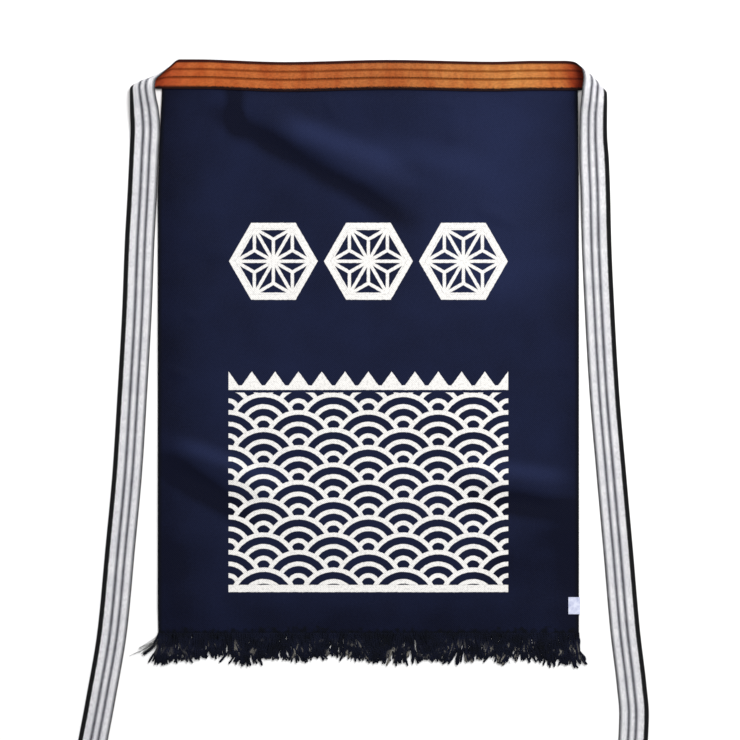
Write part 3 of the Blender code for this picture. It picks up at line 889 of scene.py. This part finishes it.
def canvas_material(name, printed):
    """Navy colour moved by painted highlights and shade, the noises and the weave, darker at the
    edges, with the ink over it.
    """
    material, add = new_material(name)
    uv = add("UVMap", uv_map="cloth")
    noises = {
        key: add("TexNoise", uv, sockets={"Scale": scale, "Detail": detail}, noise_dimensions="2D")
        for key, (scale, detail) in CANVAS_NOISES.items()
    }
    grain, blotch = noises["grain"], noises["blotch"]
    crooked = noises["crooked"].node.outputs[1]
    crooked = add("VectorMath", crooked, (0.5, 0.5, 0.5), operation="SUBTRACT")
    threads, inked = (
        add("VectorMath", crooked, (stray, stray, 0.0), uv, operation="MULTIPLY_ADD")
        for stray in (THREAD_STRAY, INK_STRAY)
    )
    place = add("SeparateXYZ", threads).node
    weave = weave_height(add, place.outputs[0], place.outputs[1], CANVAS_THREAD)
    # The point attribute carries painted highlights and painted shade, and the noises and weave add
    # random tone
    dye_and_painted_light = add("Attribute", out=2, attribute_name="dye_and_painted_light")
    for pattern, weight in ((grain, GRAIN_DYE), (blotch, BLOTCH_DYE)):
        dye_and_painted_light = add("Math", add("Math", pattern, -0.5), weight, dye_and_painted_light, operation="MULTIPLY_ADD")
    dye_and_painted_light = add("Math", weave, WEAVE_DYE, dye_and_painted_light, operation="MULTIPLY_ADD")
    colour = add("ValToRGB", dye_and_painted_light, stops=[(0.0, linear(CANVAS_DARK)), (1.0, linear(CANVAS_LIGHT))])
    flat = add("SeparateXYZ", uv).node
    across = add("Math", flat.outputs[0], operation="ABSOLUTE")
    inside = add("Math", HALF_WIDTH, across, operation="SUBTRACT")
    selvedge = add("MapRange", inside, SELVEDGE_FULL, SELVEDGE_END, SELVEDGE_DARK, 0.0)
    ragged = add("Math", noises["ragged"], -0.5)
    above = add("Math", flat.outputs[1], HALF_HEIGHT)
    above = add("Math", ragged, -HEM_STRAY, above, operation="MULTIPLY_ADD")
    hem = add("MapRange", above, HEM_FULL, HEM_END, HEM_DARK, 0.0)
    for share, code in ((selvedge, SELVEDGE_DYE), (hem, HEM_DYE)):
        mixed = {"Factor": share, 6: colour, 7: linear(code)}
        colour = add("Mix", sockets=mixed, out=2, data_type="RGBA")
    rough = add("MapRange", blotch, 0.3, 0.7, *CANVAS_ROUGH)
    height = add("Math", grain, 0.6, weave, operation="MULTIPLY_ADD")
    if printed:
        place = add("SeparateXYZ", inked).node
        x, y = place.outputs[0], place.outputs[1]
        ink = crest_ink(add, x, y)
        for pattern in (wave_ink(add, x, y), border_ink(add, x, y)):
            ink = add("Math", ink, pattern, operation="MAXIMUM")
        cover = add("Math", weave, 0.10, grain, operation="MULTIPLY_ADD")
        cover = add("MapRange", cover, 0.33, 0.50, *INK_COVER)
        for share in (under(add, across, PRINT_HALF), cover):
            ink = add("Math", ink, share, operation="MULTIPLY")
        mixed = {"Factor": ink, 6: colour, 7: linear(INK_COLOUR)}
        colour = add("Mix", sockets=mixed, out=2, data_type="RGBA")
        rough = add("Math", ink, INK_ROUGHER, rough, operation="MULTIPLY_ADD")
    return finish_material(material, colour, rough, CANVAS_GLOSS, height, CANVAS_RELIEF)


# Cotton tape woven in stripes on a narrow loom, of threads about 1.1 mm thick. That gives the eye
# matt stripes whose edges step from thread to thread, with dark flecks along them. The threads' own
# steps are too fine to show, so the edges step every FLOAT_PITCH. A fleck is a thread's width over
# FLECK_FINE wide, and 1 over FLECK_SQUEEZE times as long.
TAPE_THREAD = 0.0011
FLOAT_PITCH = 0.0013
FLECK_FINE = 0.70
FLECK_SQUEEZE = 0.45
# How far the edges stray with the flecks and with the steps, as shares of the tape's width
FLECK_WAVER, FLOAT_WAVER = 0.035, 0.026
# Tones that the tape varies between, in patches of about 14 mm drawn out across it, and how dark
# its flecks are
PATCHES_PER_METRE, PATCH_SQUEEZE = 70.0, 0.35
FACE_PATCHES, FACE_FLECK = ("#E8CCBA", "#FFFFFF"), 0.25
BACK_PATCHES, BACK_FLECK = ("#F0F0F2", "#FFFFFF"), 0.17
# The back takes no painted sheen or shade
NO_PAINTED_LIGHT = [(0.0, "#FFFFFF"), (1.0, "#FFFFFF")]
TAPE_ROUGH, TAPE_GLOSS, TAPE_RELIEF = 0.72, 0.15, 0.00020


def tape_material(name, stripes, fleck, painted_light, patches):
    """Stripes on the across share, broken by thread flecks, tinted in patches along the tape and by
    painted sheen and shade across the apron.
    """
    material, add = new_material(name)
    flat = add("SeparateXYZ", add("UVMap", uv_map="cloth")).node
    share, run = flat.outputs[0], flat.outputs[1]
    across = add("Math", share, TAPE_WIDTH, operation="MULTIPLY")
    place = add("CombineXYZ", across, add("Math", run, FLECK_SQUEEZE, operation="MULTIPLY"), 0.0)
    sockets = {"Scale": FLECK_FINE / TAPE_THREAD, "Detail": 1.0}
    threads = add("TexNoise", place, sockets=sockets, noise_dimensions="2D")
    floats = weave_height(add, across, run, FLOAT_PITCH)
    waver = add("Math", add("Math", threads, -0.5), FLECK_WAVER, share, operation="MULTIPLY_ADD")
    waver = add("Math", floats, FLOAT_WAVER, waver, operation="MULTIPLY_ADD")
    stops = []
    start = 0.0
    for end, code in stripes:
        stops += [(start + STRIPE_EDGE / 2, linear(code)), (end - STRIPE_EDGE / 2, linear(code))]
        start = end
    colour = add("ValToRGB", waver, stops=stops)
    speck = add("MapRange", threads, 0.42, 0.62, 0.0, fleck)
    mixed = {"Factor": speck, 6: colour, 7: linear(stripes[-1][1])}
    colour = add("Mix", sockets=mixed, out=2, data_type="RGBA")
    place = add("CombineXYZ", add("Math", across, PATCH_SQUEEZE, operation="MULTIPLY"), run, 0.0)
    sockets = {"Scale": PATCHES_PER_METRE, "Detail": 2.0}
    patch = add("TexNoise", place, sockets=sockets, noise_dimensions="2D")
    x = add("SeparateXYZ", add("TexCoord", out=3))
    side = add("MapRange", x, -HALF_WIDTH, HALF_WIDTH, 0.0, 1.0)
    # Random patches first, then the painted sheen and painted shade across the apron
    for value, codes in ((patch, zip((0.30, 0.70), patches)), (side, painted_light)):
        tint = add("ValToRGB", value, stops=[(at, linear(code)) for at, code in codes])
        mixed = {"Factor": 1.0, 6: colour, 7: tint}
        colour = add("Mix", sockets=mixed, out=2, data_type="RGBA", blend_type="MULTIPLY")
    weave = weave_height(add, across, run, TAPE_THREAD / 2)
    height = add("Math", threads, 1.2, weave, operation="MULTIPLY_ADD")
    return finish_material(material, colour, TAPE_ROUGH, TAPE_GLOSS, height, TAPE_RELIEF)


# Two-ply cotton yarn, dyed and worn. That gives the eye matt, nearly black strands with slanting
# plies, a little fuzz of about 1 mm on them, and on some of them stretches that have lost their
# dye. WORN_FROM is where along a yarn those may start and be at their full, and WORN_LEFT where
# across the fringe: there are fewer of them at its left end. The sewing thread and the lint are
# such yarn in other colours.
WORN_FROM = (0.006, 0.020)
WORN_LEFT = (-0.215, -0.150)
# Patches to the metre of the fuzz and of the worn stretches
FUZZ_SCALE, WISP_SCALE = 900.0, 75.0
YARN_GLOSS, YARN_RELIEF = 0.10, 0.00020


def yarn_material(name, dark, light, worn, rough):
    """Dark to light by the plies and the noises, with the worn colour where a noise is high."""
    material, add = new_material(name)
    flat = add("SeparateXYZ", add("UVMap", uv_map="cloth")).node
    around, run = flat.outputs[0], flat.outputs[1]
    slant = add("Math", run, 1 / YARN_TWIST, around, operation="MULTIPLY_ADD")
    ply = add("Math", add("Math", slant, 4 * math.pi, operation="MULTIPLY"), operation="SINE")
    where = add("TexCoord", out=3)
    fuzz, wisp = (
        add("TexNoise", where, sockets={"Scale": scale, "Detail": 2.0})
        for scale in (FUZZ_SCALE, WISP_SCALE)
    )
    tone = add(
        "Math",
        add("Math", fuzz, 0.5, operation="MULTIPLY"),
        add("Math", wisp, 0.6, operation="MULTIPLY"),
    )
    tone = add("Math", ply, 0.05, tone, operation="MULTIPLY_ADD")
    colour = add("ValToRGB", tone, stops=[(0.40, linear(dark)), (0.80, linear(light))])
    number = add("Math", run, operation="FLOOR")
    chosen = add("TexWhiteNoise", sockets={"W": number}, noise_dimensions="1D")
    pale = add("MapRange", chosen, 0.55, 0.95, 0.0, 1.0)
    length = add("Math", run, operation="FRACT")
    for share in (
        add("MapRange", wisp, 0.52, 0.60, 0.0, 0.78),
        add("MapRange", length, *WORN_FROM, 0.0, 1.0),
        add("MapRange", add("SeparateXYZ", where), *WORN_LEFT, 0.25, 1.0),
    ):
        pale = add("Math", pale, share, operation="MULTIPLY")
    mixed = {"Factor": pale, 6: colour, 7: linear(worn)}
    colour = add("Mix", sockets=mixed, out=2, data_type="RGBA")
    height = add("Math", fuzz, 0.8, ply, operation="MULTIPLY_ADD")
    return finish_material(material, colour, rough, YARN_GLOSS, height, YARN_RELIEF)


# Woven polyester ribbon, pale blue-white. That gives the eye an even tone with soft clouds of
# about 6 mm and a slight sheen. Its threads are too fine to show, so the weave is drawn at 0.6 mm.
RIBBON_THREAD = 0.0006
RIBBON_DARK, RIBBON_LIGHT = "#ADB2CE", "#D0D4E6"
RIBBON_ROUGH, RIBBON_GLOSS, RIBBON_RELIEF = 0.5, 0.3, 0.00010


def label_material(name):
    """Two close tones by a noise, bumped by a plain weave."""
    material, add = new_material(name)
    uv = add("UVMap", uv_map="cloth")
    flat = add("SeparateXYZ", uv).node
    weave = weave_height(add, flat.outputs[0], flat.outputs[1], RIBBON_THREAD)
    cloud = add("TexNoise", uv, sockets={"Scale": 170.0, "Detail": 2.0}, noise_dimensions="2D")
    stops = [(0.30, linear(RIBBON_DARK)), (0.70, linear(RIBBON_LIGHT))]
    colour = add("ValToRGB", cloud, stops=stops)
    return finish_material(material, colour, RIBBON_ROUGH, RIBBON_GLOSS, weave, RIBBON_RELIEF)


def floor_material():
    """Matt white paper, which gives the eye nothing but soft shadows."""
    material, _ = new_material("white_paper")
    return finish_material(material, linear("#F4F4F4"), 0.9, 0.2)


# The stage: half the floor's width, the key's place, width and power, the room's and the camera
FLOOR_HALF = 3.0
KEY_PLACE, KEY_SIZE, KEY_POWER = (0.9, 1.5, 1.9), 1.5, 62.0
ROOM_POWER = 0.75
EYE_PLACE, EYE_LENS = (0.0018, -0.0163, 3.0), 130.7


def build_stage():
    """A white sheet for a floor, a soft key from the upper right and an even white room."""
    corners = [(-1, -1), (1, -1), (1, 1), (-1, 1)]
    mesh = bpy.data.meshes.new("floor")
    mesh.from_pydata([(x * FLOOR_HALF, y * FLOOR_HALF, 0) for x, y in corners], [], [(0, 1, 2, 3)])
    mesh.materials.append(floor_material())
    floor = bpy.data.objects.new("floor", mesh)
    bpy.context.scene.collection.objects.link(floor)
    lamp = bpy.data.lights.new("soft_key", "AREA")
    lamp.shape, lamp.size, lamp.energy = "DISK", KEY_SIZE, KEY_POWER
    key = bpy.data.objects.new("soft_key", lamp)
    key.location = KEY_PLACE
    key.rotation_euler = key.location.to_track_quat("Z", "Y").to_euler()
    bpy.context.scene.collection.objects.link(key)
    world = bpy.data.worlds.new("even_room")
    world.use_nodes = True
    room = world.node_tree.nodes["Background"]
    room.inputs["Color"].default_value = (1.0, 1.0, 1.0, 1.0)
    room.inputs["Strength"].default_value = ROOM_POWER
    bpy.context.scene.world = world
    eye = bpy.data.cameras.new("overhead")
    eye.sensor_width, eye.lens = 36.0, EYE_LENS
    camera = bpy.data.objects.new("overhead", eye)
    camera.location = EYE_PLACE
    bpy.context.scene.collection.objects.link(camera)
    bpy.context.scene.camera = camera
    bpy.context.scene.view_settings.view_transform = "Standard"


def main():
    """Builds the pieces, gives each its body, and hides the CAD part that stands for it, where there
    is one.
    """
    printed = canvas_material("printed_cotton_canvas", True)
    canvas = build_canvas(printed, canvas_material("dyed_cotton_canvas", False))
    orange = tape_material(
        "striped_tape_face", FACE_STRIPES, FACE_FLECK, BAND_SHEEN_AND_SHADE, FACE_PATCHES,
    )
    white = tape_material("striped_tape_back", BACK_STRIPES, BACK_FLECK, NO_PAINTED_LIGHT, BACK_PATCHES)
    tape, face_grid = build_tape(orange, white)
    thread = yarn_material("black_sewing_thread", "#0A0808", "#1C1614", "#1C1614", 0.7)
    stitches = build_stitches(face_grid, thread)
    dark_yarn = yarn_material("navy_black_cotton_yarn", "#04060D", "#101428", "#77746C", 0.85)
    mat, yarns = (build_yarns(name, layer, dark_yarn) for name, layer in YARN_LAYERS.items())
    fluff = build_fluff(yarn_material("grey_cotton_lint", "#1E1E20", "#5A5A58", "#7A7A76", 0.9))
    label = build_label(label_material("pale_woven_ribbon"))
    for piece, cad_node, slot in (
        (canvas, "canvas_panel", "canvas"),
        (tape, "tie_band", "tape"),
        (yarns, "fringe", "yarn"),
        (label, "side_label", "label"),
        (stitches, None, None),
        (mat, None, None),
        (fluff, None, None),
    ):
        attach(piece, "root")
        if cad_node:
            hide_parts(cad_node)
    inner_edge = tape_rows()[0][:, 0:3]
    build_stage()


main()
